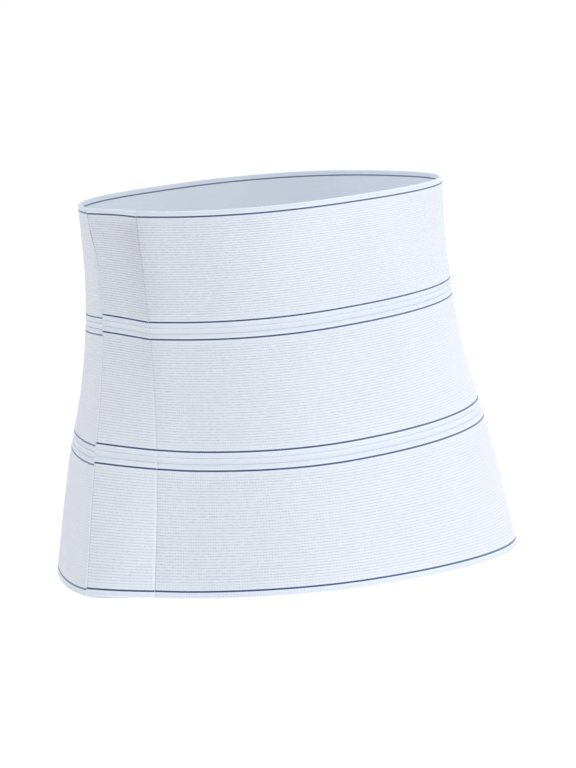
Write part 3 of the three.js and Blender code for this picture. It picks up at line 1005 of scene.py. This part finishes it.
# %% The room's light
ROOM_FAR, ROOM_NEAR = 1.02, 0.75
ROOM_LEFT, ROOM_RIGHT = 0.55, 0.98
WHITE = (1.0, 1.0, 1.0, 1.0)
world = bpy.data.worlds.new("studio_white")
bpy.context.scene.world = world
world.use_nodes = True
world.node_tree.nodes.clear()
w = world.node_tree
direction = node(w, "ShaderNodeTexCoord").outputs["Generated"]
nearer = node(w, "ShaderNodeVectorMath", {0: direction, 1: tuple(back)}, operation="DOT_PRODUCT")
aside = node(w, "ShaderNodeVectorMath", {0: direction, 1: tuple(right)}, operation="DOT_PRODUCT")
room = node(w, "ShaderNodeMapRange", {
    VALUE: nearer, START: -0.4, END: 0.9, AT_START: ROOM_FAR, AT_END: ROOM_NEAR,
}, interpolation_type="SMOOTHSTEP")
slope = node(w, "ShaderNodeMapRange", {
    VALUE: aside, START: -1.0, END: 0.0, AT_START: ROOM_LEFT, AT_END: ROOM_RIGHT,
}, interpolation_type="SMOOTHSTEP")
level = node(w, "ShaderNodeMath", {0: room, 1: slope}, operation="MULTIPLY")
sky = node(w, "ShaderNodeBackground", {"Color": WHITE, "Strength": level})
backdrop = node(w, "ShaderNodeBackground", {"Color": WHITE, "Strength": ROOM_FAR})
seen = node(w, "ShaderNodeLightPath").outputs["Is Camera Ray"]
ground = node(w, "ShaderNodeMixShader", {0: seen, 1: sky, 2: backdrop})
node(w, "ShaderNodeOutputWorld", {"Surface": ground})
view = bpy.context.scene.view_settings
view.view_transform = "Standard"
view.look = "None"
print(f"room light from {ROOM_LEFT * ROOM_NEAR:.2f} to {ROOM_RIGHT * ROOM_FAR:.2f}")

# %% [markdown]
# The photograph's frame is 576 by 768 pixels. Blender's sensor width then spans the longer
# side, the height, so the focal length in millimetres follows from the one in pixels.

# %% Camera
from mathutils import Matrix, Vector

FOCAL_PIXELS = 6697
FRAME_HEIGHT = 768
SENSOR = 36.0
DISTANCE = 4.0
ASIDE, BELOW = 0.02213, 0.06322
eye = right * ASIDE - above * BELOW + back * DISTANCE
camera_data = bpy.data.cameras.new("studio_camera")
camera_data.sensor_width = SENSOR
camera_data.lens = FOCAL_PIXELS * SENSOR / FRAME_HEIGHT
camera_data.clip_end = 400.0
camera = bpy.data.objects.new("studio_camera", camera_data)
bpy.context.scene.collection.objects.link(camera)
turned = Matrix(np.stack([right, above, back], 1).tolist()).to_4x4()
camera.matrix_world = Matrix.Translation(Vector(eye)) @ turned
bpy.context.scene.camera = camera
print("camera is", round(float(np.linalg.norm(eye)), 3), "m from the waist")

# %% [markdown]
# Two lamps add to the room. A very soft one overhead, as large as a ceiling of diffusers,
# lets the ribs cast their faint shading, and a broad key light on the picture's right
# brightens the hip towards that side. Sharper lamps would draw shadows that the photograph
# doesn't have.

# %% Lamps
OVERHEAD_POWER, OVERHEAD_SPREAD = 0.88, 40
KEY_POWER, KEY_SIZE = 8.2, 1.4
KEY_RIGHT, KEY_BACK, KEY_UP = 1.15, 2.4, 0.35
KEY_TARGET = Vector((0.0, 0.0, -0.06))
overhead = bpy.data.lights.new("overhead", "SUN")
overhead.energy = OVERHEAD_POWER
overhead.angle = math.radians(OVERHEAD_SPREAD)
overhead_lamp = bpy.data.objects.new("overhead", overhead)
bpy.context.scene.collection.objects.link(overhead_lamp)
key = bpy.data.lights.new("soft_key", "AREA")
key.size = KEY_SIZE
key.energy = KEY_POWER
key_lamp = bpy.data.objects.new("soft_key", key)
bpy.context.scene.collection.objects.link(key_lamp)
key_place = Vector(right * KEY_RIGHT + back * KEY_BACK + np.array([0, 0, KEY_UP]))
aim = (KEY_TARGET - key_place).to_track_quat("-Z", "Y").to_matrix().to_4x4()
key_lamp.matrix_world = Matrix.Translation(key_place) @ aim
print("key light is", round(key_place.length, 2), "m from the waist")
